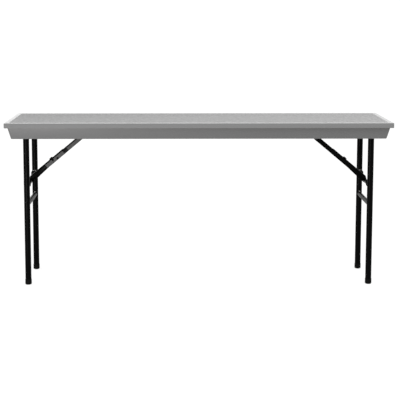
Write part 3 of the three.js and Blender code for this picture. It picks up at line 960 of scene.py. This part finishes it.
def build_lower_link(turn, end):
    """Channel from the knee to the cross rod, slotted for the lever, and its pins."""
    link, body = lower_link, f"lower_link_{end}"
    open_rise, closed, overlap = link["open"], link["closed"], link["overlap"]
    end_radius = link["end_radius"]
    outline = [
        (-overlap, open_rise), (lower_length * link["taper_start"], open_rise),
        (lower_length - link["taper_end"], -end_radius),
    ]
    outline += arc(lower_length, 0, end_radius, 270, 450, steps=24)
    outline += [(lower_length - link["neck"], closed), (-overlap, closed)]
    shape = channel(f"brace_lower_channel_{end}", outline, link, 2 * lower_length)
    slot_half = lock["head_half"] + lock["play"]
    slot_low = (lock["from_knee"] - lock["slot_before"], -slot_half, lock["rise"])
    slot_high = (lock["from_knee"] + lock["slot_after"], slot_half, 2 * closed)
    cut(shape, block("slot", slot_low, slot_high))
    soften(shape, link["edge_round"])
    at_knee = turn @ Matrix.Translation(KNEE) @ Matrix.Rotation(link_angle, 4, "Y")
    move(shape, at_knee)
    place(shade(paint(shape, black_coat)), body, "black_steel", f"brace_lower_link_{end}")

    for kind, x, z in (("knee", 0, 0), ("lock", lock["from_knee"], lock["rise"])):
        piece = rivet(f"{kind}_rivet_head_{end}", link["half"])
        move(piece, at_knee @ Matrix.Translation((x, 0, z)))
        place(shade(paint(piece, black_coat)), body, "black_steel", f"{kind}_rivet_{end}")

    inside = link["half"] - link["metal"] - pin["play"]
    lower_pin = lathe(f"cross_rod_middle_{end}", [
        (0, -inside), (PIN_RADIUS, -inside), (PIN_RADIUS, inside), (0, inside),
    ], axis="Y")
    move(lower_pin, at_knee @ Matrix.Translation((lower_length, 0, 0)))
    place(shade(paint(lower_pin, black_coat)), body, "black_steel", f"brace_lower_pin_{end}")
    return at_knee


def lever_stem(head_start, head_low):
    """The lever's flat stem: a round hub with a nose that points at the knee."""
    x, z, hub, nose = lock["from_knee"], lock["rise"], lock["hub"], lock["nose"]
    towards_knee = math.atan2(-z, -x)
    top = head_low + lock["overlap"]
    outline = [
        (x + hub, z), (x + hub, top), (head_start, top), (head_start, z),
        (x + nose * math.cos(towards_knee), z + nose * math.sin(towards_knee)),
    ]
    hub_start = math.degrees(towards_knee + lock["flare"]) + 360
    outline += arc(x, z, hub, hub_start, 360, ROUND_STEPS)[:-1]
    stem = soften(prism("stem", outline, -lock["half"], lock["half"]), SHEET_ROUND)
    return paint(stem, black_coat)


def lever_head(head_start, head_low):
    """The part that the thumb presses, with grooves across its top."""
    head_end = head_start + lock["head_length"]
    head_high = head_low + lock["head_height"]
    side_high = head_low + lock["head_side"]
    bevel = lock["head_height"] / 2
    edge = lock["head_round"]
    outline = fillet([
        (head_start, head_low, edge), (head_end, head_low, edge), (head_end, side_high, edge),
        (head_end - bevel * lock["head_slope"], head_high, bevel),
        (head_start + bevel, head_high, bevel), (head_start, side_high, edge),
    ])
    head = prism("head", outline, -lock["head_half"], lock["head_half"])
    radius, half = ridge["radius"], ridge["half"]
    for number in range(1, ridge["count"] + 1):
        x = head_start + lock["head_length"] * number / (ridge["count"] + 1)
        profile = [(0, -half), (radius, -half), (radius, half), (0, half)]
        groove = lathe("groove", profile, sides=16, axis="Y")
        cut(head, move(groove, Matrix.Translation((x, 0, head_high + ridge["lift"]))))
    return paint(soften(head, SHEET_ROUND), black_coat)


def build_lock(at_knee, end):
    """Thumb lever on its rivet and the small torsion spring beside it."""
    head_start = lock["from_knee"] - lock["hub"]
    head_low = lower_link["closed"] + lock["gap"]
    stem = lever_stem(head_start, head_low)
    head = lever_head(head_start, head_low)
    lever = move(merge(f"lock_lever_shape_{end}", stem, head), at_knee)
    place(shade(lever), f"lock_lever_{end}", "black_steel", f"lock_lever_{end}")

    turns = spring["turns"]
    steps = spring["steps"] * turns
    start_y = lock["half"] + spring["wire"] + lock["gap"]
    path = []
    for step in range(steps + 1):
        angle = 2 * math.pi * turns * step / steps
        path.append(Vector((
            lock["from_knee"] + spring["radius"] * math.cos(angle),
            start_y + spring["pitch"] * turns * step / steps,
            lock["rise"] + spring["radius"] * math.sin(angle))))
    coil = sweep(f"lock_spring_coil_{end}", path, lambda share: spring["wire"])
    move(coil, at_knee)
    place(shade(paint(coil, zinc)), f"lower_link_{end}", "zinc_steel", f"lock_spring_{end}")


def build_label(name, link, matrix, ends, body):
    """A plain sticker on the side of a left brace link that faces the front."""
    start, stop = ends
    low = link["open"] + label["from_open"]
    high = link["closed"] - link["bend"] - label["from_bend"]
    corner = label["corner"]
    outline = fillet([
        (start, low, corner), (stop, low, corner), (stop, high, corner), (start, high, corner),
    ])
    outside = link["half"] + label["thickness"]
    sticker = prism(f"brace_label_{name}", outline, link["half"], outside)
    move(sticker, matrix)
    place(shade(paint(sticker, label_film)), body, "black_steel")


# ---------------------------------------------------------------------------- assembly

build_top()
build_skirt()
screw_source = screw_head()
build_skirt_screws(screw_source)
for end in ("right", "left"):
    for side in ("front", "back"):
        build_gusset(end, side, screw_source)
paint(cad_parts["core_board"], board)

for end in ("right", "left"):
    turn = Matrix.Identity(4) if end == "right" else HALF_TURN
    for side in (-1, 1):
        world_side = side if end == "right" else -side
        name = f"{'front' if world_side < 0 else 'back'}_{end}"
        build_saddle(turn, name, side, screw_source)
        build_leg_tube(turn, name, end, side)
        build_foot_cap(turn, name, end, side)
        build_rod_lug(turn, name, end, side)
        build_cross_rod_half(turn, name, end, side)
        build_push_cap(turn, name, end, side)
    build_fold_rod(turn, end)
    build_lower_tube(turn, end)
    build_bracket(turn, end, screw_source)
    along_upper_link = build_upper_link(turn, end)
    at_knee = build_lower_link(turn, end)
    build_lock(at_knee, end)
    if end == "left":
        build_label("upper", upper_link, along_upper_link, upper_label_ends, "upper_link_left")
        build_label("lower", lower_link, at_knee, lower_label_ends, "lower_link_left")
bpy.data.objects.remove(screw_source)

# ------------------------------------------------------------------ floor, light, view

FLOOR_HALF = 40000
FLOOR_THICKNESS = 2

floor_low = (-FLOOR_HALF, -FLOOR_HALF, -FLOOR_THICKNESS)
floor = block("floor", floor_low, (FLOOR_HALF, FLOOR_HALF, 0))
pale_floor = new_material("floor", grey(0.2), 1.0, specular=0.0)
floor_shader = pale_floor.node_tree.nodes["Principled BSDF"]
floor_shader.inputs["Emission Color"].default_value = (1.0, 1.0, 1.0, 1.0)
floor_shader.inputs["Emission Strength"].default_value = 0.8
paint(floor, pale_floor)

# The studio is white all round, and brighter on the table's left.
world = bpy.data.worlds.new("studio")
world.use_nodes = True
bpy.context.scene.world = world
world_tree = world.node_tree
background = world_tree.nodes["Background"]
background.inputs["Color"].default_value = (1.0, 1.0, 1.0, 1.0)
direction = world_tree.nodes.new("ShaderNodeTexCoord")
split = world_tree.nodes.new("ShaderNodeSeparateXYZ")
ramp = world_tree.nodes.new("ShaderNodeMapRange")
ramp.inputs["From Min"].default_value = -0.3
ramp.inputs["From Max"].default_value = 0.3
ramp.inputs["To Min"].default_value = 1.5
ramp.inputs["To Max"].default_value = 1.02
world_tree.links.new(direction.outputs["Generated"], split.inputs["Vector"])
world_tree.links.new(split.outputs["X"], ramp.inputs["Value"])
world_tree.links.new(ramp.outputs["Result"], background.inputs["Strength"])


def area_light(name, location, target, size, power):
    """A rectangular light that faces its target; metres and watts."""
    data = bpy.data.lights.new(name, "AREA")
    data.shape = "RECTANGLE"
    data.size, data.size_y = size
    data.energy = power
    light = bpy.data.objects.new(name, data)
    light.location = location
    light.rotation_euler = (Vector(target) - Vector(location)).to_track_quat("-Z", "Y").to_euler()
    bpy.context.scene.collection.objects.link(light)


area_light("left_low_softbox", (-1.2, -2.3, 0.15), (-0.5, 0.0, 0.7), (0.9, 0.25), 27)
area_light("right_overhead", (1.3, -1.2, 2.3), (0.8, 0.0, 0.77), (1.2, 1.0), 26)

LOOK_DOWN = 6.781  # degrees
LOOK_RIGHT = 0.490

camera_data = bpy.data.cameras.new("camera")
camera_data.lens = 95.05
camera_data.sensor_width = 36.0
camera_data.shift_x = 0.04
camera_data.shift_y = -0.18
camera = bpy.data.objects.new("camera", camera_data)
camera.location = (-0.1114, -5.0567, 1.3315)
camera.rotation_euler = (math.radians(90 - LOOK_DOWN), 0.0, math.radians(-LOOK_RIGHT))
bpy.context.scene.collection.objects.link(camera)
bpy.context.scene.camera = camera

settings = bpy.context.scene.view_settings
settings.view_transform = "Standard"
settings.look = "None"
settings.exposure = 0.0
settings.gamma = 1.0
